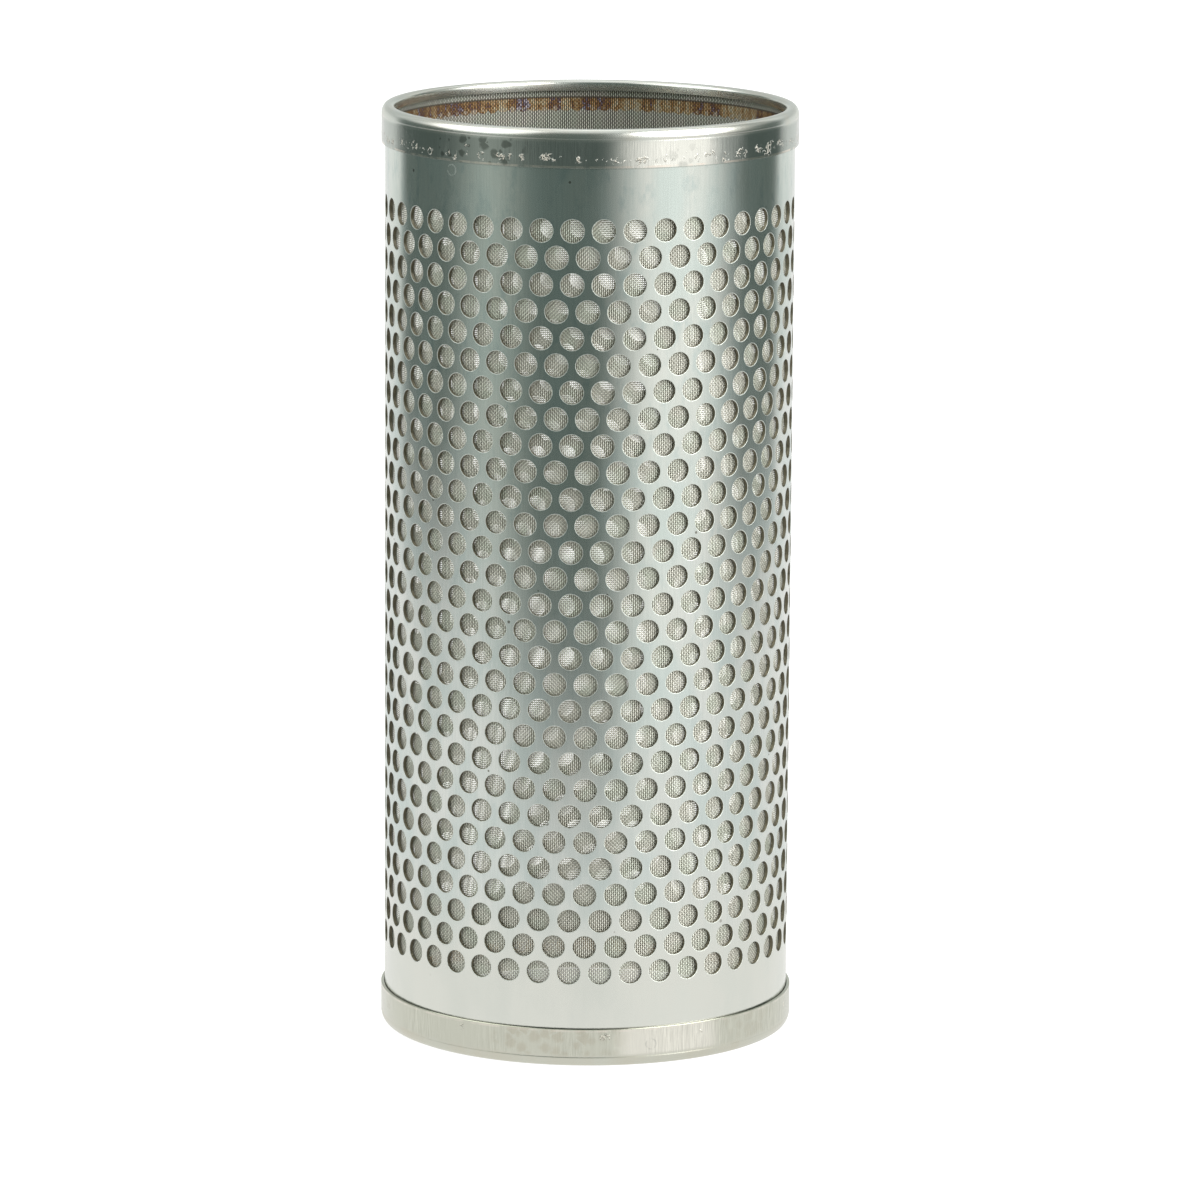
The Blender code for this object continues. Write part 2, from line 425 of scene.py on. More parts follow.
@dataclass(frozen=True)
class PunchedSteel:
    """Satin stainless sheet of the tube: grey-green, smudged, finely scratched."""

    colour: Colour = (0.70, 0.725, 0.69)
    smudged: Colour = (0.60, 0.665, 0.64)
    # Dark colour of the dirt specks, and of the painted shade just beyond the rings' flanges.
    dirt_and_shade: Colour = (0.16, 0.15, 0.12)
    cut: Colour = (0.24, 0.22, 0.17)
    # Painted shade: the near-black colour of the tube's inner face.
    inside: Colour = (0.10, 0.10, 0.085)
    foot: Colour = (0.73, 0.735, 0.675)
    dull: Colour = (0.50, 0.58, 0.57)
    # Painted highlight: the pale colour of the rolled edges round the holes.
    rim: Colour = (0.74, 0.77, 0.72)
    roughness: float = 0.17
    scratch: Colour = (0.86, 0.87, 0.84)
    scuff: Colour = (0.90, 0.93, 0.91)
    foot_mm: tuple[float, float] = (17.0, 40.0)
    dull_mm: tuple[float, float] = (20.0, LENGTH_MM - 17.0)
    # Width of the painted shade on the tube just beyond each ring's flange.
    flange_shade_mm: float = 0.4
    ring_mark_mm: Colour = (-28.1, -31.9, 184.6)

    def make(self, effects: Effects) -> bpy.types.Material:
        """Builds the material, which reads the mesh's "cut": 1 on the holes' walls, 0.8 on the inside.

        Args:
            effects: the shared node groups.

        Returns:
            The material.
        """
        material, wire, shader = new_finish("satin_punched_sheet", self.roughness)
        cut = wire.add("Attribute", {"attribute_name": "cut"}).outputs["Fac"]
        place = use_group(wire, effects.place, {}).outputs
        marks = use_group(wire, effects.handling, {"Place": place["Place"]}).outputs
        colour = wire.blend(marks["Smudge"], self.colour, self.smudged)
        streak = wire.rise(marks["Streak"], 0.3, 0.7, 0.965, 1.02)
        colour = wire.vector("SCALE", colour, scale=streak)
        pale = wire.sum("MULTIPLY", marks["Scratch"], 0.35)
        colour = wire.blend(pale, colour, self.scratch)
        feeds = {"Place": place["Place"], "Centre": self.ring_mark_mm}
        mark = use_group(wire, effects.ring_mark, feeds).outputs["Share"]
        colour = wire.blend(wire.sum("MULTIPLY", mark, 0.45), colour, self.scuff)
        colour = wire.blend(wire.sum("MULTIPLY", marks["Speck"], 0.75), colour, self.dirt_and_shade)
        near = end_depth(wire, place)
        rubs = wire.noise(wire.stretched(place["Place"], (1.0, 1.0, 0.5)), 0.3, 4.0, 0.65)
        rubs = wire.rise(rubs, 0.5, 0.72)
        most = wire.rise(place["Height"], *self.dull_mm, 0.12, 0.75)
        colour = wire.blend(wire.sum("MULTIPLY", rubs, most), colour, self.dull)
        foot = wire.rise(place["Height"], *self.foot_mm, 0.8, 0.0)
        colour = wire.blend(foot, colour, self.foot)
        # Painted shade: the tube is darkened under and just beyond each ring's flange, where the flange's
        # edge overhangs it.
        flange_shade = wire.rise(near, FLANGE_MM, FLANGE_MM + self.flange_shade_mm, 0.45, 0.0)
        colour = wire.blend(flange_shade, colour, self.dirt_and_shade)
        # Painted highlight: the rolled edge round each hole is made pale.
        rim = wire.band(cut, 0.1, 0.3, 0.1)
        colour = wire.blend(rim, colour, self.rim)
        colour = wire.blend(wire.rise(cut, 0.3, 1.0), colour, self.cut)
        # Painted shade: the tube's inner face, seen through the cloth's gaps, is made near-black and dull.
        inside = wire.sum("COMPARE", cut, 0.8, 0.01)
        colour = wire.blend(inside, colour, self.inside)
        wire.feed(shader.inputs["Base Color"], colour)
        rough = wire.sum("MULTIPLY_ADD", marks["Smudge"], 0.06, self.roughness)
        rough = wire.sum("MULTIPLY_ADD", marks["Streak"], 0.02, rough)
        rough = wire.sum("MULTIPLY_ADD", mark, 0.1, rough)
        rough = wire.sum("MULTIPLY_ADD", rim, 0.3, rough)
        rough = wire.sum("MULTIPLY_ADD", inside, 0.4, rough)
        wire.feed(shader.inputs["Roughness"], wire.sum("MULTIPLY_ADD", cut, 0.2, rough))
        fine = wire.noise(wire.stretched(place["Place"], (1.0, 1.0, 0.04)), 9.0, 2.0)
        bump = wire.add("Bump", None, {"Height": fine, "Strength": 0.05, "Distance": 0.00002})
        wire.feed(shader.inputs["Normal"], bump.outputs[0])
        return material


@dataclass(frozen=True)
class WovenWire:
    """Fine wire cloth, warm grey, with the tinted band of its weld near each end."""

    pitch_mm: float = 0.41
    wire_mm: float = 0.18
    inner_wire_mm: float = 0.16
    relief: float = 0.22
    knuckle_glint: Colour = (0.99, 0.985, 0.915)
    recess_shade: Colour = (0.40, 0.385, 0.32)
    inner_shade: Colour = (0.36, 0.35, 0.32)
    cloudy: Colour = (0.94, 0.985, 0.96)
    nugget_glint: Colour = (0.98, 0.86, 0.70)
    burnt: Colour = (0.10, 0.06, 0.035)
    roughness: float = 0.68
    weld_low_mm: float = 3.8
    weld_high_mm: float = 6.35
    patch_mm: float = 2.35

    def make(self, effects: Effects) -> bpy.types.Material:
        """Builds the material.

        Args:
            effects: the shared node groups.

        Returns:
            The material.
        """
        material, wire, shader = new_finish("woven_steel_wire", self.roughness)
        place = use_group(wire, effects.place, {}).outputs
        out = wire.add("NewGeometry").outputs["Normal"]
        feeds = {label: place[label] for label in ("Around", "Height", "Along")}
        inner = self.inner_face(wire, place, out)
        across = wire.sum("MULTIPLY_ADD", inner, self.inner_wire_mm - self.wire_mm, self.wire_mm)
        feeds |= {"Out": out, "Pitch": self.pitch_mm, "Wire": across, "Relief": self.relief}
        weave = use_group(wire, effects.weave, feeds).outputs

        # Painted shade and highlight: the wires darken towards the dips of the weave and lighten to a glint
        # on the knuckles.
        low = wire.blend(inner, self.recess_shade, wire.blend(1.0, self.recess_shade, self.inner_shade, "MULTIPLY"))
        colour = wire.blend(wire.rise(weave["Lift"], 0.15, 0.85), low, self.knuckle_glint)
        clouds = wire.rise(wire.noise(place["Place"], 0.18, 3.0), 0.4, 0.65)
        colour = wire.blend(clouds, colour, wire.blend(1.0, colour, self.cloudy, "MULTIPLY"))
        weld = self.weld_share(wire, place)
        feeds = {"Place": place["Place"], "Heat": self.spot_heat(wire, place)}
        heat = use_group(wire, effects.heat, feeds)
        # Painted shade and highlight: the tint is darkened in the weave's dips and lifted past its own colour
        # on the knuckles.
        shade = wire.rise(weave["Lift"], 0.1, 0.85, 0.12, 1.12)
        # The nuggets are real, and their paleness is partly a painted glint.
        heat = wire.blend(self.nuggets(wire, place), heat.outputs["Colour"], self.nugget_glint)
        heat = wire.vector("SCALE", heat, scale=shade)
        burnt = wire.sum("MULTIPLY", self.weld_line(wire, place), 0.7)
        colour = wire.blend(burnt, wire.blend(weld, colour, heat), self.burnt)
        wire.feed(shader.inputs["Base Color"], colour)
        wire.feed(shader.inputs["Normal"], weave["Normal"])
        # A look from either side meets only the wires on its own side of the sleeve.
        facing = wire.sum("SUBTRACT", 1.0, wire.add("NewGeometry").outputs["Backfacing"])
        wire.feed(shader.inputs["Alpha"], wire.sum("MULTIPLY", weave["Cover"], facing))
        return material

    def inner_face(self, wire: Wiring, place: bpy.types.bpy_prop_collection, out: Socket) -> Socket:
        """1 on the sleeve's inner face, whose gaps look into the shade between cloth and tube."""
        facing = wire.add("VectorMath", {"operation": "DOT_PRODUCT"}, {0: place["Place"], 1: out})
        return wire.sum("LESS_THAN", facing.outputs["Value"], 0.0)

    def spot_heat(self, wire: Wiring, place: bpy.types.bpy_prop_collection) -> Socket:
        """How hot a point of the band was: least in the middle of a weld spot, most between two.

        Args:
            wire: the material's wiring.
            place: the outputs of the group strainer_place.

        Returns:
            The heat, from 0 to 1.
        """
        sway = wire.sum("MULTIPLY", wire.sum("SUBTRACT", wire.noise(place["Place"], 0.9, 2.0), 0.5), 2.4)
        turn = wire.sum("DIVIDE", wire.sum("ADD", place["Around"], sway), self.patch_mm)
        spot = wire.sum("FLOOR", turn)
        chance = wire.chance(spot)
        aside = wire.sum("ABSOLUTE", wire.sum("SUBTRACT", wire.sum("SUBTRACT", turn, spot), 0.5))
        edge = wire.sum("MULTIPLY", wire.sum("POWER", wire.sum("MULTIPLY", aside, 2.0), 2.0), 0.25)
        drift = wire.noise(wire.stretched(place["Place"], (1.0, 1.0, 0.4)), 0.09, 2.0)
        start = wire.sum("MULTIPLY_ADD", chance, 0.5, wire.sum("MULTIPLY_ADD", drift, 1.3, -0.48))
        return wire.sum("ADD", start, edge, clamp=True)

    def nuggets(self, wire: Wiring, place: bpy.types.bpy_prop_collection) -> Socket:
        """The melted nuggets along the band's deeper edge, one to a weld spot, some missing, painted pale
        with their glint.

        Args:
            wire: the material's wiring.
            place: the outputs of the group strainer_place.

        Returns:
            The share of nugget, from 0 to 1.
        """
        turn = wire.sum("DIVIDE", place["Around"], self.patch_mm)
        spot = wire.sum("FLOOR", turn)
        chance = wire.chance(wire.sum("ADD", spot, 0.37))
        aside = wire.sum("SUBTRACT", wire.sum("SUBTRACT", turn, spot), 0.5)
        aside = wire.sum("MULTIPLY", aside, self.patch_mm)
        below = wire.sum("SUBTRACT", end_depth(wire, place), self.weld_high_mm - 0.35)
        squares = wire.sum("ADD", wire.sum("MULTIPLY", aside, aside), wire.sum("MULTIPLY", below, below))
        far = wire.sum("SQRT", squares)
        uneven = wire.sum("MULTIPLY_ADD", wire.noise(place["Place"], 1.6, 1.0), 0.7, far)
        size = wire.sum("MULTIPLY_ADD", chance, 0.75, 0.30)
        inside = wire.rise(wire.sum("SUBTRACT", size, uneven), -0.12, 0.12)
        return wire.sum("MULTIPLY", inside, 0.85)

    def weld_line(self, wire: Wiring, place: bpy.types.bpy_prop_collection) -> Socket:
        """The burnt line along the band's edge towards the strainer's end."""
        return wire.band(end_depth(wire, place), self.weld_low_mm - 0.25, self.weld_low_mm, 0.15)

    def weld_share(self, wire: Wiring, place: bpy.types.bpy_prop_collection) -> Socket:
        """How far a point is inside the welded band, whose deeper edge is scalloped.

        Args:
            wire: the material's wiring.
            place: the outputs of the group strainer_place.

        Returns:
            The share of weld, from 0 to 1.
        """
        near = end_depth(wire, place)
        turn = wire.sum("MULTIPLY", place["Around"], math.pi / self.patch_mm)
        scallop = wire.sum("MULTIPLY", wire.sum("ABSOLUTE", wire.sum("SINE", turn)), 0.5)
        ragged = wire.sum("MULTIPLY", wire.noise(place["Place"], 0.8, 2.0), 0.7)
        edge = wire.sum("ADD", wire.sum("ADD", scallop, ragged), self.weld_high_mm - 0.6)
        inside = wire.rise(wire.sum("SUBTRACT", edge, near), -0.1, 0.1)
        return wire.sum("MULTIPLY", inside, wire.rise(near, self.weld_low_mm - 0.1, self.weld_low_mm + 0.1))


@dataclass(frozen=True)
class RingSteel:
    """Folded sheet of the rings: brushed faces, stains and small weld pits."""

    name: str = "folded_ring_sheet"
    colour: Colour = (0.67, 0.685, 0.65)
    warm: Colour = (0.68, 0.665, 0.61)
    rubbed: Colour = (0.48, 0.50, 0.475)
    polish_and_sheen: Colour = (0.84, 0.835, 0.79)
    stain: Colour = (0.17, 0.185, 0.165)
    scuff: Colour = (0.45, 0.45, 0.42)
    # Colour of the painted highlight along the flange's cut edge.
    foot: Colour = (0.90, 0.80, 0.72)
    shadow: Colour = (0.13, 0.12, 0.10)
    stroke: Colour = (0.82, 0.775, 0.685)
    roughness: float = 0.13
    stain_share: float = 0.75
    stain_soft: float = 0.08
    edge_highlight_share: float = 0.7
    stained_mm: Colour = (-23.2, -36.5, 190.6)
    polish_and_sheen_mm: Colour = (15.8, -40.3, 190.0)
    ring_mark_mm: Colour = (13.6, -41.0, 4.4)
    shadow_mm: float = 0.24

    def make(self, effects: Effects) -> bpy.types.Material:
        """Builds the material.

        Args:
            effects: the shared node groups.

        Returns:
            The material.
        """
        material, wire, shader = new_finish(self.name, self.roughness)
        place = use_group(wire, effects.place, {}).outputs
        marks = use_group(wire, effects.handling, {"Place": place["Place"]}).outputs
        pit = wire.add("Attribute", {"attribute_name": "weld_pit"}).outputs["Fac"]
        flange = wire.add("Attribute", {"attribute_name": "flange"}).outputs["Fac"]
        colour = wire.blend(marks["Smudge"], self.colour, self.warm)
        # The flange's rubbed tone is set darker than the fold, partly as painted shade.
        colour = wire.blend(flange, colour, self.rubbed)
        # Painted reflection on real polish: a brushed patch at the front of the flange is made lighter.
        away = wire.apart(place["Place"], self.polish_and_sheen_mm)
        polish_sheen = wire.sum("MULTIPLY", wire.rise(away, 8.5, 13.5, 1.0, 0.0), flange)
        colour = wire.blend(polish_sheen, colour, self.polish_and_sheen)
        grain = wire.noise(wire.stretched(place["Place"], (1.0, 1.0, 0.05)), 4.5, 3.0, 0.6)
        ground = wire.noise(wire.stretched(place["Place"], (1.0, 1.0, 0.3)), 0.07, 2.0)
        ground = wire.sum("MULTIPLY_ADD", wire.rise(ground, 0.42, 0.6), 0.8, 0.2)
        ground = wire.sum("MULTIPLY", ground, flange)
        depth = wire.sum("MULTIPLY", ground, 0.8)
        shade = wire.sum("MULTIPLY_ADD", wire.sum("SUBTRACT", grain, 0.5), depth, 1.0)
        colour = wire.vector("SCALE", colour, scale=shade)
        colour = wire.blend(self.stains(wire, place, flange), colour, self.stain)
        feeds = {"Place": place["Place"], "Centre": self.ring_mark_mm}
        mark = use_group(wire, effects.ring_mark, feeds).outputs["Share"]
        colour = wire.blend(wire.sum("MULTIPLY", mark, 0.5), colour, self.scuff)
        # Painted highlight: a pale broken line along the flange's cut edge.
        colour = wire.blend(self.edge_highlight_line(wire, place), colour, self.foot)
        stroke = self.strokes(wire, place["Place"], pit)
        lower = wire.vector("ADD", place["Place"], (0.0, 0.0, self.shadow_mm))
        shadow = wire.sum("MULTIPLY", self.strokes(wire, lower, pit), 0.8)
        colour = wire.blend(shadow, colour, self.shadow)
        colour = wire.blend(stroke, colour, self.stroke)
        wire.feed(shader.inputs["Base Color"], colour)
        rough = wire.sum("MULTIPLY_ADD", ground, 0.10, self.roughness)
        rough = wire.sum("MULTIPLY_ADD", wire.sum("SUBTRACT", 1.0, flange), 0.09, rough)
        wire.feed(shader.inputs["Roughness"], wire.sum("MULTIPLY_ADD", stroke, 0.4, rough))
        rubbed = wire.add("Bump", None, {"Height": grain, "Strength": ground, "Distance": 0.00002})
        feeds = {"Height": stroke, "Strength": 0.7, "Distance": 0.00012, "Normal": rubbed.outputs[0]}
        bump = wire.add("Bump", None, feeds)
        wire.feed(shader.inputs["Normal"], bump.outputs[0])
        return material

    def strokes(self, wire: Wiring, place: Socket, pit: Socket) -> Socket:
        """Short bright strokes where the welding wheel scuffed the sheet, inside the marked spots.

        Args:
            wire: the material's wiring.
            place: where the point is, in millimetres.
            pit: how strongly the point is marked by a weld.

        Returns:
            The share of stroke, from 0 to 1.
        """
        line = wire.noise(wire.stretched(place, (1.0, 1.0, 0.8)), 0.85, 3.0, 0.65)
        patchy = wire.rise(wire.noise(place, 0.7, 1.0), 0.45, 0.54)
        stroke = wire.sum("MULTIPLY", wire.band(line, 0.48, 0.505, 0.02), patchy)
        return wire.sum("MULTIPLY", stroke, wire.rise(pit, 0.05, 0.3))

    def edge_highlight_line(self, wire: Wiring, place: bpy.types.bpy_prop_collection) -> Socket:
        """The painted highlight: a bright broken line along the flange's cut edge.

        Args:
            wire: the material's wiring.
            place: the outputs of the group strainer_place.

        Returns:
            The share of the line, from 0 to 1.
        """
        near = end_depth(wire, place)
        edge = wire.band(near, FLANGE_MM - 0.42, FLANGE_MM - 0.12, 0.12)
        broken = wire.rise(wire.noise(place["Place"], 0.35, 3.0), 0.38, 0.6)
        return wire.sum("MULTIPLY", wire.sum("MULTIPLY", edge, broken), self.edge_highlight_share)

    def stains(self, wire: Wiring, place: bpy.types.bpy_prop_collection, flange: Socket) -> Socket:
        """Soft round stains on the flange, thick in one place and few elsewhere.

        Args:
            wire: the material's wiring.
            place: the outputs of the group strainer_place.
            flange: 1 on the flange and 0 elsewhere.

        Returns:
            The share of stain, from 0 to 1.
        """
        spot = wire.add("CombineXYZ", None, {0: place["Around"], 1: place["Height"]}).outputs[0]
        feeds = {"Vector": place["Place"], "Scale": 0.7, "Detail": 2.0}
        shift = wire.add("TexNoise", None, feeds).outputs["Color"]
        uneven = wire.vector("SCALE", wire.vector("SUBTRACT", shift, (0.5, 0.5, 0.5)), scale=1.3)
        feeds = {"Vector": wire.vector("ADD", spot, uneven), "Scale": 0.42}
        cells = wire.add("TexVoronoi", {"voronoi_dimensions": "2D"}, feeds)
        chance = wire.add("SeparateXYZ", None, {0: cells.outputs["Color"]}).outputs["X"]
        reach = wire.rise(chance, 0.2, 1.0, 0.04, 0.46)
        middle, edge = wire.sum("MULTIPLY", reach, 0.7), wire.sum("ADD", reach, self.stain_soft)
        inside = wire.rise(cells.outputs["Distance"], middle, edge, 1.0, 0.0)
        away = wire.apart(place["Place"], self.stained_mm)
        cluster = wire.sum("MULTIPLY", wire.rise(wire.noise(place["Place"], 0.045, 1.0), 0.54, 0.68), 0.5)
        cluster = wire.sum("MAXIMUM", cluster, wire.rise(away, 8.5, 13.0, 1.0, 0.0))
        share = wire.sum("MULTIPLY", wire.sum("MULTIPLY", inside, cluster), self.stain_share)
        return wire.sum("MULTIPLY", share, flange)


# Pieces


def finish_piece(
    name: str, bm: bmesh.types.BMesh, material: bpy.types.Material
) -> bpy.types.Object:
    """Makes a piece that rides on the strainer's body.

    Args:
        name: the piece's name.
        bm: its mesh, in place, which is used up.
        material: its finish.

    Returns:
        The piece's object, at the origin.
    """
    mesh = bpy.data.meshes.new(name)
    bm.to_mesh(mesh)
    bm.free()
    mesh.materials.append(material)
    mesh.shade_smooth()
    obj = bpy.data.objects.new(name, mesh)
    bpy.context.collection.objects.link(obj)
    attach(obj, BODY)
    log.info("%s: %d faces", name, len(mesh.polygons))
    return obj


def verts_of(made: dict) -> list[bmesh.types.BMVert]:
    """The vertices among what an operator made."""
    return [item for item in made["geom"] if isinstance(item, bmesh.types.BMVert)]


def edges_of(made: dict) -> list[bmesh.types.BMEdge]:
    """The drawn-out edges among what an extrusion made, without those that join them to the old ones.

    Args:
        made: what the extrusion returned.

    Returns:
        The edges.
    """
    drawn = set(verts_of(made))
    edges = [item for item in made["geom"] if isinstance(item, bmesh.types.BMEdge)]
    return [edge for edge in edges if drawn.issuperset(edge.verts)]


@dataclass
class PerforatedTube:
    """Sheet with round holes in staggered rows, rolled up and welded down one seam."""

    outer_radius: float = 42.5 * MM
    sheet: float = 0.7 * MM
    hole: float = 4.76 * MM
    pitch: float = 6.35 * MM
    rows: int = 29
    per_row: int = 41
    rows_below_middle: float = 0.5 * MM
    seam_angle: float = math.radians(155.9)
    hole_sides: int = 18
    edge_roll: float = 0.16 * MM
    finish: PunchedSteel = PunchedSteel()

    def cell(self) -> bmesh.types.BMesh:
        """One hole in its six-sided patch of flat sheet, with the outer face at y 0.

        Returns:
            The patch. Its vertices' "lean" is how far their normal turns from the sheet's face into
            the hole, as a share of a right angle, and is 2 on the inner face.
        """
        bm = bmesh.new()
        lean = bm.verts.layers.float.new("lean")
        radius = self.hole / 2
        rings = (
            (radius + self.edge_roll, 0.0, 0.0),
            (radius + self.edge_roll * 0.2, self.edge_roll * 0.15, 0.2),
            (radius, self.edge_roll * 0.4, 1.0),
            (radius, self.sheet, 1.0),
        )
        edges = self.face_round_hole(bm, rings[0][0])
        for (before, _, _), (now, depth, turn) in zip(rings, rings[1:]):
            made = bmesh.ops.extrude_edge_only(bm, edges=edges)
            edges, loop = edges_of(made), verts_of(made)
            share = now / before
            bmesh.ops.scale(bm, vec=(share, share, 1.0), verts=loop)
            for vert in loop:
                vert.co.z = -depth
                vert[lean] = turn
        front = set(bm.verts)
        self.face_round_hole(bm, radius)
        for vert in set(bm.verts) - front:
            vert[lean] = 1.0 if math.hypot(vert.co.x, vert.co.y) < radius * 1.01 else 2.0
            vert.co.z = -self.sheet
        bmesh.ops.remove_doubles(bm, verts=bm.verts, dist=MM * 0.001)
        bmesh.ops.rotate(bm, cent=(0, 0, 0), matrix=Matrix.Rotation(math.pi / 2, 3, "X"), verts=bm.verts)
        return bm

    def face_round_hole(self, bm: bmesh.types.BMesh, radius: float) -> list[bmesh.types.BMEdge]:
        """Adds a flat six-sided face with a round hole at z 0, and returns the hole's edges.

        Args:
            bm: the mesh to add to.
            radius: the hole's radius.

        Returns:
            The hole's edges.
        """
        loops = []
        for sides, reach in ((6, self.pitch / math.sqrt(3)), (self.hole_sides, radius)):
            loop = bmesh.ops.create_circle(bm, segments=sides, radius=reach)["verts"]
            loops.append(list({edge for vert in loop for edge in vert.link_edges}))
        bmesh.ops.bridge_loops(bm, edges=loops[0] + loops[1])
        return loops[1]

    def row_rise(self) -> float:
        """How much higher each row of holes lies than the one below it."""
        return self.pitch * math.sqrt(3) / 2

    def first_hole(self) -> tuple[float, float]:
        """Where the lowest row's first hole is, along and up the flat sheet."""
        low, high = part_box("perforated_tube")
        along = self.pitch / 4 - self.pitch * (self.per_row - 1) / 2
        middle = (low[2] + high[2]) / 2
        return along, middle - self.rows_below_middle - self.row_rise() * (self.rows - 1) / 2

    def blank(self) -> bmesh.types.BMesh:
        """The whole punched sheet, flat, before its margins are drawn out.

        Returns:
            The flat sheet, in its place along and up.
        """
        bm = self.cell()
        rise = self.row_rise()
        first = bm.verts[:] + bm.edges[:] + bm.faces[:]
        for column in range(1, self.per_row):
            made = bmesh.ops.duplicate(bm, geom=first)
            bmesh.ops.translate(bm, vec=(column * self.pitch, 0, 0), verts=verts_of(made))
        bmesh.ops.remove_doubles(bm, verts=bm.verts, dist=MM * 0.01)
        row = bm.verts[:] + bm.edges[:] + bm.faces[:]
        for number in range(1, self.rows):
            made = bmesh.ops.duplicate(bm, geom=row)
            aside = -self.pitch / 2 if number % 2 else 0.0
            bmesh.ops.translate(bm, vec=(aside, 0, number * rise), verts=verts_of(made))
        bmesh.ops.remove_doubles(bm, verts=bm.verts, dist=MM * 0.01)
        start, lowest = self.first_hole()
        bmesh.ops.translate(bm, vec=(start, 0, lowest), verts=bm.verts)
        return bm

    def draw_out(self, bm: bmesh.types.BMesh, edges: list, axis: int, value: float) -> None:
        """Extends the sheet from these open edges to a straight line at the value on the axis.

        Args:
            bm: the flat sheet.
            edges: the open edges to draw out.
            axis: 0 along the sheet or 2 up it.
            value: where the new edge lies on the axis.
        """
        lean = bm.verts.layers.float["lean"]
        made = bmesh.ops.extrude_edge_only(bm, edges=edges)
        for vert in verts_of(made):
            vert.co[axis] = value
            vert[lean] = 2.0 if vert.co.y > self.sheet / 2 else 0.0

    def build(self, effects: Effects) -> bpy.types.Object:
        """Draws out the margins, rolls the sheet and closes it.

        Args:
            effects: the shared node groups.

        Returns:
            The tube's object.
        """
        bm = self.blank()
        neutral = self.outer_radius - self.sheet / 2
        half = math.pi * neutral
        low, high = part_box("perforated_tube")
        bottom, top = low[2], high[2]
        heights = [vert.co.z for vert in bm.verts]
        reach = self.pitch / math.sqrt(3)
        lowest, highest = min(heights) + reach / 2, max(heights) - reach / 2
        slack = MM * 0.01
        for side in (-1, 1):
            inside = self.pitch * self.per_row / 2 - self.pitch / 4 - MM * 0.1
            edges = [
                edge
                for edge in bm.edges
                if edge.is_boundary
                and all(side * v.co.x > inside for v in edge.verts)
                and all(lowest - slack < v.co.z < highest + slack for v in edge.verts)
            ]
            self.draw_out(bm, edges, 0, side * half)
        for limit, sign, end in ((highest, 1, top), (lowest, -1, bottom)):
            edges = [
                edge
                for edge in bm.edges
                if edge.is_boundary and all(sign * (v.co.z - limit) > -slack for v in edge.verts)
            ]
            self.draw_out(bm, edges, 2, end)
        bmesh.ops.remove_doubles(bm, verts=bm.verts, dist=MM * 0.003)
        self.roll(bm, neutral)
        outside = self.outer_radius - self.sheet / 2
        rim = [e for e in bm.edges if e.is_boundary and all(v.co.xy.length > outside for v in e.verts)]
        share = (self.outer_radius - self.sheet) / self.outer_radius
        lean, toward = bm.verts.layers.float["lean"], bm.verts.layers.float_vector["toward"]
        for vert in verts_of(bmesh.ops.extrude_edge_only(bm, edges=rim)):
            vert.co.xy *= share
            vert[lean] = 2.0
            vert[toward] = -vert[toward]
        bmesh.ops.remove_doubles(bm, verts=bm.verts, dist=MM * 0.01)
        bmesh.ops.recalc_face_normals(bm, faces=bm.faces)
        normals = self.spent_normals(bm)
        obj = finish_piece("perforated_tube_skin", bm, self.finish.make(effects))
        obj.data.normals_split_custom_set(self.corner_normals(obj.data, normals))
        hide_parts("perforated_tube")
        return obj

    def corner_normals(self, mesh: bpy.types.Mesh, normals: list[Vector]) -> list[Vector]:
        """Each face corner's normal: its vertex's own, but plain on the tube's inner face.

        Args:
            mesh: the tube's mesh.
            normals: the wanted normal of each vertex.

        Returns:
            The normals in the order of the mesh's corners.
        """
        corners = []
        for face in mesh.polygons:
            inside = face.normal.xy.dot(face.center.xy) < -0.9 * face.center.xy.length
            for number in face.vertices:
                away = mesh.vertices[number].co
                corners.append(Vector((-away.x, -away.y, 0)).normalized() if inside else normals[number])
        return corners

    def spent_normals(self, bm: bmesh.types.BMesh) -> list[Vector]:
        """Takes each vertex's wanted normal off the mesh and returns them in the mesh's order.

        Args:
            bm: the rolled tube.

        Returns:
            Each vertex's normal.
        """
        bm.verts.index_update()
        toward = bm.verts.layers.float_vector["toward"]
        normals = [Vector(vert[toward]) for vert in bm.verts]
        bm.verts.layers.float_vector.remove(toward)
        cut = bm.verts.layers.float.new("cut")
        lean = bm.verts.layers.float["lean"]
        for vert in bm.verts:
            vert[cut] = vert[lean] if vert[lean] < 1.5 else 0.8
        bm.verts.layers.float.remove(lean)
        return normals

    def roll(self, bm: bmesh.types.BMesh, neutral: float) -> None:
        """Rolls the flat sheet round Z and welds its seam.

        Each vertex's "toward" is set to its normal: across the sheet on its faces, and turned into the
        hole at its edge.

        Args:
            bm: the flat sheet.
            neutral: the radius that keeps its length as the sheet is rolled.
        """
        lean = bm.verts.layers.float["lean"]
        rise = self.row_rise()
        first, lowest = self.first_hole()
        toward = bm.verts.layers.float_vector.new("toward")
        for vert in bm.verts:
            angle = vert.co.x / neutral + self.seam_angle - math.pi
            out = Vector((math.sin(angle), -math.cos(angle), 0))
            along = Vector((math.cos(angle), math.sin(angle), 0))
            if 0 < vert[lean] < 1.5:
                row = round((vert.co.z - lowest) / rise)
                start = first - (self.pitch / 2 if row % 2 else 0.0)
                column = round((vert.co.x - start) / self.pitch)
                centre = Vector((start + column * self.pitch, 0, lowest + row * rise))
                inward = centre - vert.co
                inward = (along * inward.x + Vector((0, 0, inward.z))).normalized()
                turn = vert[lean] * math.pi / 2
                vert[toward] = out * math.cos(turn) + inward * math.sin(turn)
            else:
                vert[toward] = out if vert[lean] < 1 else -out
            radius = self.outer_radius - vert.co.y
            vert.co = out * radius + Vector((0, 0, vert.co.z))
        bmesh.ops.remove_doubles(bm, verts=bm.verts, dist=MM * 0.01)


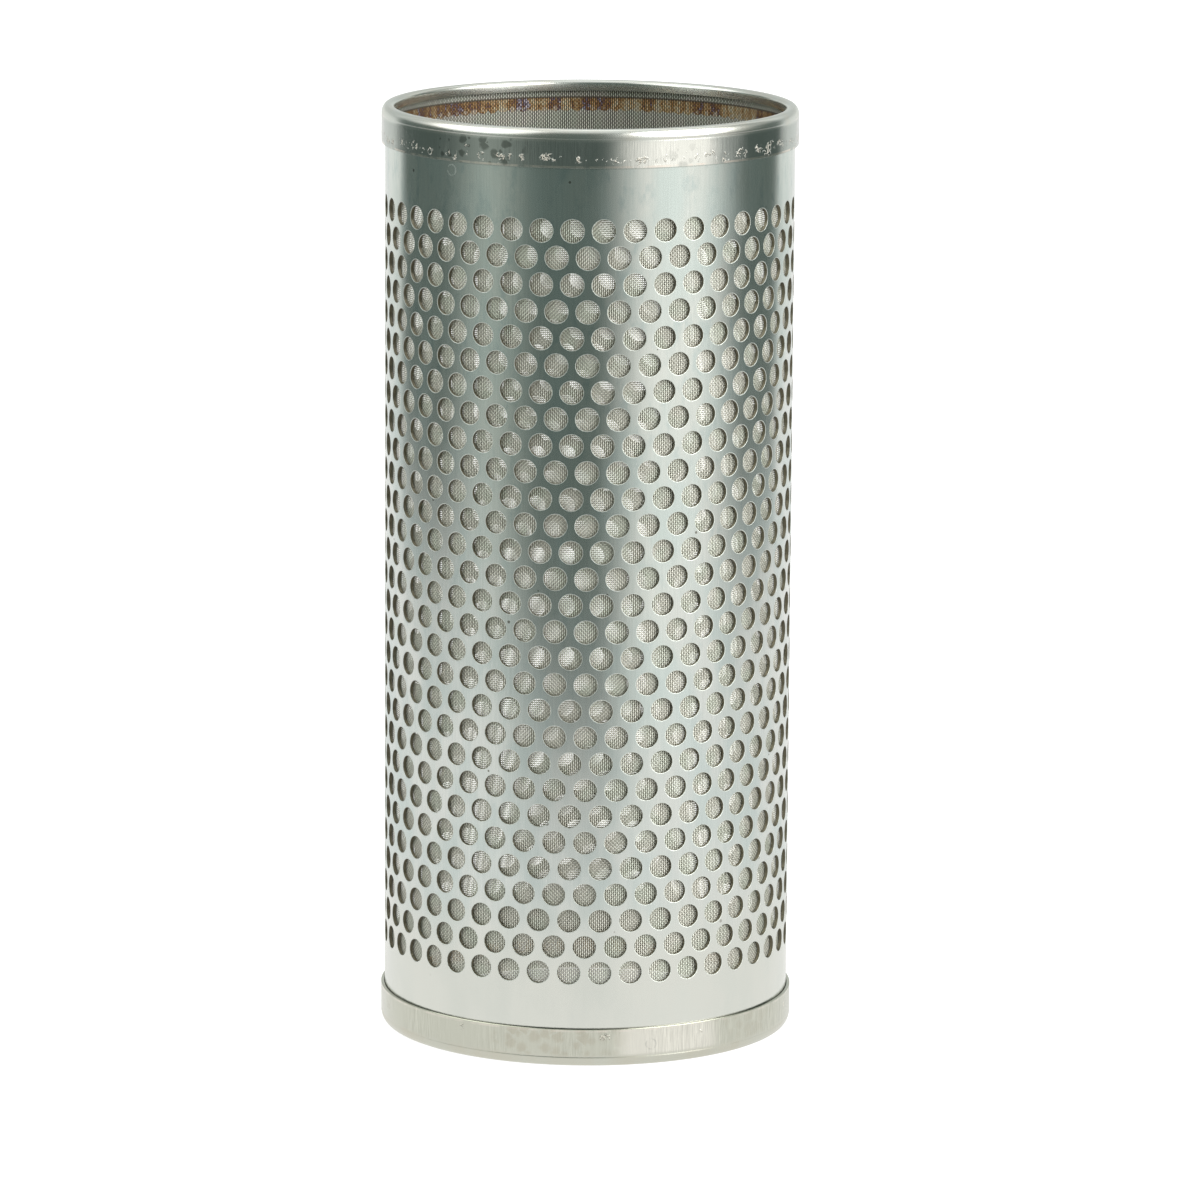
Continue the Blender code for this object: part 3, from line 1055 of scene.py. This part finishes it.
@dataclass
class SeamWeld:
    """The bead that closes the tube's seam, a row of overlapping ripples."""

    width: float = 2.0 * MM
    arch: float = 0.2
    sunk: float = 0.06 * MM
    ripple: float = 0.75 * MM
    swell: float = 0.10
    sides: int = 8

    def build(self, tube: PerforatedTube, effects: Effects) -> bpy.types.Object:
        """Draws the bead's arched section up the seam, a ripple at a time.

        Args:
            tube: the tube whose seam it closes.
            effects: the shared node groups.

        Returns:
            The bead's object.
        """
        bm = bmesh.new()
        low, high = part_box("perforated_tube")
        arch = bmesh.ops.create_circle(bm, segments=self.sides * 2, radius=self.width / 2)["verts"]
        base = tube.outer_radius - self.sunk
        turn = Matrix.Rotation(tube.seam_angle, 3, "Z")
        for vert in arch:
            vert.co.y *= -self.arch
        steps = round((high[2] - low[2]) / self.ripple) * 3
        section = bm.edges[:]
        previous = 0.0
        bmesh.ops.translate(bm, vec=(0, 0, low[2]), verts=bm.verts)
        for step in range(steps):
            made = bmesh.ops.extrude_edge_only(bm, edges=section)
            section, verts = edges_of(made), verts_of(made)
            swell = self.swell * ((step % 3) / 2)
            scale = (1 + swell) / (1 + previous)
            previous = swell
            bmesh.ops.scale(bm, vec=(1 + (scale - 1) * 0.3, scale, 1), verts=verts)
            bmesh.ops.translate(bm, vec=(0, 0, (high[2] - low[2]) / steps), verts=verts)
        bmesh.ops.holes_fill(bm, edges=[edge for edge in bm.edges if edge.is_boundary])
        for vert in bm.verts:
            sag = math.sqrt(max(base**2 - vert.co.x**2, 0.0)) - base
            vert.co.y = -(base + sag) + vert.co.y
        bmesh.ops.rotate(bm, cent=(0, 0, 0), matrix=turn, verts=bm.verts)
        bmesh.ops.recalc_face_normals(bm, faces=bm.faces)
        finish = RingSteel(
            name="seam_bead",
            colour=(0.58, 0.54, 0.46),
            warm=(0.50, 0.42, 0.30),
            stain=(0.26, 0.20, 0.14),
            roughness=0.3,
        )
        return finish_piece("seam_bead", bm, finish.make(effects))


@dataclass
class MeshLiner:
    """The sleeve of plain woven wire cloth inside the tube."""

    outer_radius: float = 41.66 * MM
    thickness: float = 0.14 * MM
    segments: int = 288
    finish: WovenWire = WovenWire()

    def build(self, effects: Effects) -> bpy.types.Object:
        """Spins the sleeve's thin section all the way round.

        Args:
            effects: the shared node groups.

        Returns:
            The sleeve's object.
        """
        low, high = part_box("mesh_liner")
        inner = self.outer_radius - self.thickness
        bm = bmesh.new()
        outer = self.outer_radius
        spots = [(outer, low[2]), (outer, high[2]), (inner, high[2]), (inner, low[2])]
        corners = [bm.verts.new((radius, 0, height)) for radius, height in spots]
        sides = [bm.edges.new(pair) for pair in zip(corners, corners[1:] + corners[:1])]
        spin_round(bm, corners + sides, self.segments)
        bmesh.ops.recalc_face_normals(bm, faces=bm.faces)
        obj = finish_piece("wire_cloth_sleeve", bm, self.finish.make(effects))
        obj.data.set_sharp_from_angle(angle=math.radians(40))
        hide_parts("mesh_liner")
        return obj


def spin_round(bm: bmesh.types.BMesh, geom: list, steps: int) -> None:
    """Spins a closed section round Z and joins its end to its start."""
    bmesh.ops.spin(bm, geom=geom, cent=(0, 0, 0), axis=(0, 0, 1), angle=math.tau, steps=steps, use_merge=True)


@dataclass(frozen=True)
class WeldMark:
    """One small pit or crumb that the welding wheel left on a ring."""

    angle: float
    depth: float
    width: float
    height: float
    lift: float


@dataclass
class EndRing:
    """A strip folded into a channel over the ends of tube and liner, with weld marks on its flange."""

    end: End
    outer_radius: float = 43.25 * MM
    inner_radius: float = 40.53 * MM
    sheet: float = 0.45 * MM
    flange: float = FLANGE_MM * MM
    lip: float = 2.2 * MM
    fold_wide: float = 1.2 * MM
    fold_tall: float = 1.9 * MM
    lip_fold: float = 0.85 * MM
    crease: float = 0.05 * MM
    steps: int = 720
    marks: int = 84
    grip: float = 42.63 * MM
    marks_depth: float = 5.9 * MM
    marks_spread: float = 0.8 * MM
    mark_widths: tuple[float, float] = (0.4, 1.4)
    mark_heights: tuple[float, float] = (0.4, 0.9)
    mark_lifts: tuple[float, float] = (-0.04, 0.02)
    seed: int = 7
    finish: RingSteel = RingSteel()

    def outer_side(self) -> list[tuple[float, float]]:
        """The strip's outer face as (radius, depth from the end), from the flange's foot to the lip's.

        Returns:
            The points of the face.
        """
        side = [(self.outer_radius, self.flange - 0.04 * MM)]
        rows = 14
        foot, top = self.flange - 0.25 * MM, self.fold_tall + 0.35 * MM
        for row in range(rows):
            side.append((self.outer_radius, foot + (top - foot) * row / (rows - 1)))
        side.append((self.outer_radius - self.crease, self.fold_tall + 0.12 * MM))
        centre = self.outer_radius - self.fold_wide
        for step in range(10):
            angle = math.pi / 2 * step / 9
            side.append((centre + self.fold_wide * math.cos(angle), self.fold_tall * (1 - math.sin(angle))))
        inner = self.inner_radius + self.lip_fold
        side.append(((centre + inner) / 2, -0.0))
        for step in range(6):
            angle = math.pi / 2 * step / 5
            side.append((inner - self.lip_fold * math.sin(angle), self.lip_fold * (1 - math.cos(angle))))
        side.append((self.inner_radius, self.lip))
        return side

    def inner_side(self) -> list[tuple[float, float]]:
        """The strip's inner face, from the lip's foot back to the flange's.

        Returns:
            The points of the face, as for the outer one.
        """
        wall_in = self.inner_radius + self.sheet
        wall_out = self.outer_radius - self.sheet
        side = [(wall_in, self.lip), (wall_in, self.sheet + 0.25 * MM), (wall_in + 0.25 * MM, self.sheet)]
        side += [(wall_out - 0.75 * MM, self.sheet), (wall_out - 0.2 * MM, self.sheet + 0.45 * MM)]
        side += [(wall_out, self.fold_tall + 0.1 * MM), (wall_out, self.flange - 0.7 * MM)]
        return side + [(self.grip, self.flange), (self.outer_radius - 0.05 * MM, self.flange)]

    def weld_marks(self) -> list[WeldMark]:
        """The marks, spread unevenly round the flange's lower third.

        Returns:
            The marks, the same ones for the same seed.
        """
        chance = random.Random(self.seed)
        marks = []
        for number in range(self.marks):
            angle = math.tau * (number + chance.uniform(-0.4, 0.4)) / self.marks
            depth = self.marks_depth + chance.gauss(0, self.marks_spread * 0.5)
            width = chance.uniform(*self.mark_widths) * MM
            height = chance.uniform(*self.mark_heights) * MM
            lift = chance.uniform(*self.mark_lifts) * MM
            marks.append(WeldMark(angle, depth, width, height, lift))
        return marks

    def press_marks(self, bm: bmesh.types.BMesh, top: float) -> None:
        """Moves the flange inward at each mark and notes its strength on the vertices.

        Args:
            bm: the ring.
            top: the height of the end that the ring is on.
        """
        pit = bm.verts.layers.float.new("weld_pit")
        flange = bm.verts.layers.float.new("flange")
        marks = self.weld_marks()
        for vert in bm.verts:
            radius = math.hypot(vert.co.x, vert.co.y)
            depth = abs(vert.co.z - top)
            if radius > self.outer_radius - 0.02 * MM:
                vert[flange] = min(max((depth - self.fold_tall) / (0.8 * MM), 0.0), 1.0)
            if radius < self.outer_radius - 0.02 * MM or depth > self.flange - 0.3 * MM:
                continue
            angle = math.atan2(vert.co.x, -vert.co.y) % math.tau
            shift = strength = 0.0
            for mark in marks:
                turn = (angle - mark.angle + math.pi) % math.tau - math.pi
                across = turn * self.outer_radius / mark.width
                if abs(across) < 2:
                    share = math.exp(-(across**2) - ((depth - mark.depth) / mark.height) ** 2)
                    shift += mark.lift * share
                    strength = max(strength, share)
            shift = min(shift, 0.0)
            vert.co.x *= 1 + shift / radius
            vert.co.y *= 1 + shift / radius
            vert[pit] = strength

    def build(self, effects: Effects) -> bpy.types.Object:
        """Spins the channel's section, presses the marks and dresses it.

        Args:
            effects: the shared node groups.

        Returns:
            The ring's object.
        """
        node = self.end.value + "_ring"
        low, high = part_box(node)
        top, sign = (high[2], -1) if self.end is End.TOP else (low[2], 1)
        bm = bmesh.new()
        section = self.outer_side() + self.inner_side()
        corners = [bm.verts.new((radius, 0, top + sign * depth)) for radius, depth in section]
        sides = [bm.edges.new(pair) for pair in zip(corners, corners[1:] + corners[:1])]
        spin_round(bm, corners + sides, self.steps)
        bmesh.ops.recalc_face_normals(bm, faces=bm.faces)
        self.press_marks(bm, top)
        obj = finish_piece(node + "_skin", bm, self.finish.make(effects))
        obj.data.set_sharp_from_angle(angle=math.radians(50))
        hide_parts(node)
        return obj


# Studio


@dataclass(frozen=True)
class LightCard:
    """A soft panel far off in the studio, by its bearing from the front towards +X and its height."""

    bearing: float
    half_width: float
    soft: float
    low: float
    high: float
    rise: float
    colour: Colour


def card_group() -> bpy.types.NodeTree:
    """Group: how much of a soft panel shows in a direction.

    Returns:
        The group. It is given a direction and the panel's bounds, in degrees, and puts out Share.
    """
    inputs = dict.fromkeys(("Bearing", "Climb", "Centre", "Half Width", "Soft", "Low", "High", "Rise"), 1.0)
    tree, wire, given, out = new_group("soft_panel", inputs, {"Share": "NodeSocketFloat"})
    away = wire.sum("SUBTRACT", given["Bearing"], given["Centre"])
    away = wire.sum("ABSOLUTE", wire.sum("WRAP", away, 180.0, -180.0))
    beyond = wire.sum("ADD", given["Half Width"], given["Soft"])
    start = wire.sum("SUBTRACT", given["Half Width"], given["Soft"])
    side = wire.rise(away, start, beyond, 1.0, 0.0)
    up = wire.rise(given["Climb"], wire.sum("SUBTRACT", given["Low"], given["Rise"]), given["Low"])
    down = wire.rise(given["Climb"], given["High"], wire.sum("ADD", given["High"], given["Rise"]), 1.0, 0.0)
    wire.feed(out.inputs["Share"], wire.sum("MULTIPLY", side, wire.sum("MULTIPLY", up, down)))
    return tree


@dataclass(frozen=True)
class SoftLamp:
    """A broad soft light far off, by bearing, climb and spread in degrees."""

    name: str
    bearing: float
    climb: float
    spread: float
    strength: float

    def place(self) -> bpy.types.Object:
        """Adds the lamp, turned towards the strainer.

        Returns:
            The lamp's object.
        """
        data = bpy.data.lights.new(self.name, "SUN")
        data.angle = math.radians(self.spread)
        data.energy = self.strength
        obj = bpy.data.objects.new(self.name, data)
        bpy.context.collection.objects.link(obj)
        bearing, climb = math.radians(self.bearing), math.radians(self.climb)
        level = Vector((math.sin(bearing), -math.cos(bearing), 0))
        way = level * math.cos(climb) + Vector((0, 0, math.sin(climb)))
        obj.rotation_euler = way.to_track_quat("Z", "Y").to_euler()
        return obj


@dataclass
class Studio:
    """Pale floor, white surroundings with soft panels, and the camera."""

    gloom: Colour = (0.125, 0.158, 0.143)
    cards: tuple[LightCard, ...] = (
        LightCard(50.5, 29, 19, -40, 32, 14, (0.93, 0.90, 0.87)),
        LightCard(62, 34, 18, 10, 40, 14, (0.45, 0.45, 0.43)),
        LightCard(-58, 14, 20, -40, 40, 20, (0.34, 0.36, 0.33)),
        LightCard(-72, 22, 20, 24, 40, 14, (0.60, 0.60, 0.58)),
        LightCard(-88, 42, 16, 20, 42, 12, (0.62, 0.62, 0.60)),
        LightCard(180, 49, 4, -40, 0, 10, (0.27, 0.27, 0.26)),
        LightCard(180, 49, 4, -40, 90, 10, (0.48, 0.48, 0.47)),
        LightCard(112, 36, 20, 24, 56, 14, (0.30, 0.30, 0.29)),
        LightCard(0, 181, 1, 72, 91, 40, (0.80, 0.80, 0.78)),
    )
    footprint: float = 42.0 * MM
    table_half_width: float = 0.57
    table_front: float = 0.33
    table_soft: float = 0.16
    floor_reach: float = 6.0
    lens_mm: float = 213.05
    lamps: tuple[SoftLamp, ...] = (
        SoftLamp("key_light", 58, 30, 54, 2.0),
        SoftLamp("fill_light", -72, 38, 60, 0.75),
    )
    camera_place: tuple[float, float, float] = (0.0, -1.462323, 0.374752)
    pan: float = -0.001783
    tilt: float = 0.19253
    roll: float = -0.006182

    def surroundings(self) -> None:
        """White for the camera, and a dim studio with soft panels for everything else."""
        world = bpy.data.worlds.new("studio")
        bpy.context.scene.world = world
        world.use_nodes = True
        tree = world.node_tree
        tree.nodes.clear()
        wire = Wiring(tree)
        way = wire.add("TexCoord").outputs["Generated"]
        axes = wire.add("SeparateXYZ", None, {0: way}).outputs
        bearing = wire.sum("DEGREES", wire.sum("ARCTAN2", axes["X"], wire.sum("MULTIPLY", axes["Y"], -1.0)))
        climb = wire.sum("DEGREES", wire.sum("ARCSINE", axes["Z"]))
        panel = card_group()
        light: Feed = self.gloom
        for card in self.cards:
            feeds = {"Bearing": bearing, "Climb": climb, "Centre": float(card.bearing)}
            feeds |= {"Half Width": float(card.half_width), "Soft": float(card.soft)}
            feeds |= {"Low": float(card.low), "High": float(card.high), "Rise": float(card.rise)}
            share = use_group(wire, panel, feeds).outputs["Share"]
            light = wire.blend(share, light, wire.vector("ADD", light, card.colour))
        seen = wire.add("LightPath").outputs["Is Camera Ray"]
        soft = wire.add("Background", None, {"Color": light, "Strength": 1.0})
        white = wire.add("Background", None, {"Color": (1.0, 1.0, 1.0), "Strength": 1.0})
        mixed = wire.add("MixShader", None, {0: seen, 1: soft.outputs[0], 2: white.outputs[0]})
        wire.add("OutputWorld", None, {"Surface": mixed.outputs[0]})

    def floor(self) -> bpy.types.Object:
        """The pale floor, with painted shade inside the strainer's footprint, which the metal sees as a table
        that ends in front.

        Returns:
            The floor's object.
        """
        bm = bmesh.new()
        bmesh.ops.create_grid(bm, x_segments=1, y_segments=1, size=self.floor_reach)
        mesh = bpy.data.meshes.new("pale_floor")
        bm.to_mesh(mesh)
        bm.free()
        obj = bpy.data.objects.new("pale_floor", mesh)
        bpy.context.collection.objects.link(obj)
        material = bpy.data.materials.new("pale_paper")
        material.use_nodes = True
        tree = material.node_tree
        tree.nodes.clear()
        wire = Wiring(tree)
        place = wire.add("TexCoord").outputs["Object"]
        spot = wire.add("SeparateXYZ", None, {0: place}).outputs
        rays = wire.add("LightPath").outputs
        near, far = self.table_half_width - self.table_soft, self.table_half_width + self.table_soft
        side = wire.rise(wire.sum("ABSOLUTE", spot["X"]), near, far, 1.0, 0.0)
        near, far = -self.table_front + self.table_soft, -self.table_front - self.table_soft
        front = wire.rise(spot["Y"], far, near)
        table = wire.sum("MULTIPLY", side, front)
        away = wire.add("VectorMath", {"operation": "LENGTH"}, {0: place}).outputs["Value"]
        # Painted shade: the floor's glow drops to 0.3 inside the strainer's footprint.
        clear_of_painted_shade = wire.rise(away, self.footprint - 2 * MM, self.footprint, 0.3, 1.0)
        matt = wire.add("BsdfDiffuse", None, {"Color": (0.32, 0.32, 0.315)})
        bright = wire.sum("MULTIPLY", clear_of_painted_shade, 0.86)
        white = wire.add("Emission", None, {"Color": (1.0, 1.0, 1.0), "Strength": bright})
        seen = wire.add("AddShader", None, {0: matt.outputs[0], 1: white.outputs[0]})
        paper = wire.add("BsdfDiffuse", None, {"Color": (0.85, 0.85, 0.84)})
        feeds = {0: rays["Is Camera Ray"], 1: paper.outputs[0], 2: seen.outputs[0]}
        plain = wire.add("MixShader", None, feeds)
        bright = wire.sum("MULTIPLY", clear_of_painted_shade, 0.97)
        glow = wire.add("Emission", None, {"Color": (1.0, 1.0, 0.985), "Strength": bright})
        gone = wire.add("BsdfTransparent")
        shine = wire.add("MixShader", None, {0: table, 1: gone.outputs[0], 2: glow.outputs[0]})
        mirrored = wire.sum("MAXIMUM", rays["Is Glossy Ray"], rays["Is Transmission Ray"])
        whole = wire.add("MixShader", None, {0: mirrored, 1: plain.outputs[0], 2: shine.outputs[0]})
        wire.add("OutputMaterial", None, {"Surface": whole.outputs[0]})
        mesh.materials.append(material)
        return obj

    def camera(self) -> bpy.types.Object:
        """The camera, placed and turned as the photograph was taken.

        Returns:
            The camera's object.
        """
        right = Vector((math.cos(self.pan), math.sin(self.pan), 0))
        level = Vector((-math.sin(self.pan), math.cos(self.pan), 0))
        ahead = level * math.cos(self.tilt) - Vector((0, 0, math.sin(self.tilt)))
        up = level * math.sin(self.tilt) + Vector((0, 0, math.cos(self.tilt)))
        side = right * math.cos(self.roll) - up * math.sin(self.roll)
        head = right * math.sin(self.roll) + up * math.cos(self.roll)
        data = bpy.data.cameras.new("camera")
        data.sensor_width = 36.0
        data.lens = self.lens_mm
        obj = bpy.data.objects.new("camera", data)
        bpy.context.collection.objects.link(obj)
        turn = Matrix((side, head, -ahead)).transposed().to_4x4()
        obj.matrix_world = Matrix.Translation(self.camera_place) @ turn
        bpy.context.scene.camera = obj
        return obj

    def build(self) -> None:
        """Builds the surroundings, the lamps, the floor and the camera, at plain colour settings."""
        bpy.context.scene.view_settings.view_transform = "Standard"
        self.surroundings()
        for lamp in self.lamps:
            lamp.place()
        self.floor()
        self.camera()
        log.info("studio ready")


# The foot ring's brushed patch is lightened as a painted reflection, and its edge line is a painted
# highlight, as on the top ring.
BOTTOM_RING_STEEL = RingSteel(
    name="foot_ring_sheet",
    colour=(0.60, 0.605, 0.53),
    warm=(0.59, 0.575, 0.49),
    rubbed=(0.575, 0.58, 0.50),
    polish_and_sheen=(0.76, 0.745, 0.67),
    stain=(0.36, 0.29, 0.20),
    stain_share=0.24,
    stain_soft=0.4,
    edge_highlight_share=0.3,
    stained_mm=(-8.5, -42.4, 4.6),
    polish_and_sheen_mm=(17.6, -39.5, 4.4),
)


@dataclass
class LineStrainer:
    """The whole strainer, piece by piece."""

    tube: PerforatedTube = field(default_factory=PerforatedTube)
    seam: SeamWeld = field(default_factory=SeamWeld)
    liner: MeshLiner = field(default_factory=MeshLiner)
    top: EndRing = field(default_factory=lambda: EndRing(End.TOP))
    bottom: EndRing = field(
        default_factory=lambda: EndRing(End.BOTTOM, marks=9, seed=19, finish=BOTTOM_RING_STEEL)
    )

    def build(self) -> None:
        """Builds every piece in order."""
        effects = Effects()
        self.tube.build(effects)
        self.seam.build(self.tube, effects)
        self.liner.build(effects)
        self.top.build(effects)
        self.bottom.build(effects)


def main() -> None:
    """Builds the strainer and its studio."""
    logging.basicConfig(level=logging.INFO, format="%(name)s: %(message)s")
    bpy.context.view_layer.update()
    LineStrainer().build()
    Studio().build()


if __name__ == "__main__":
    main()
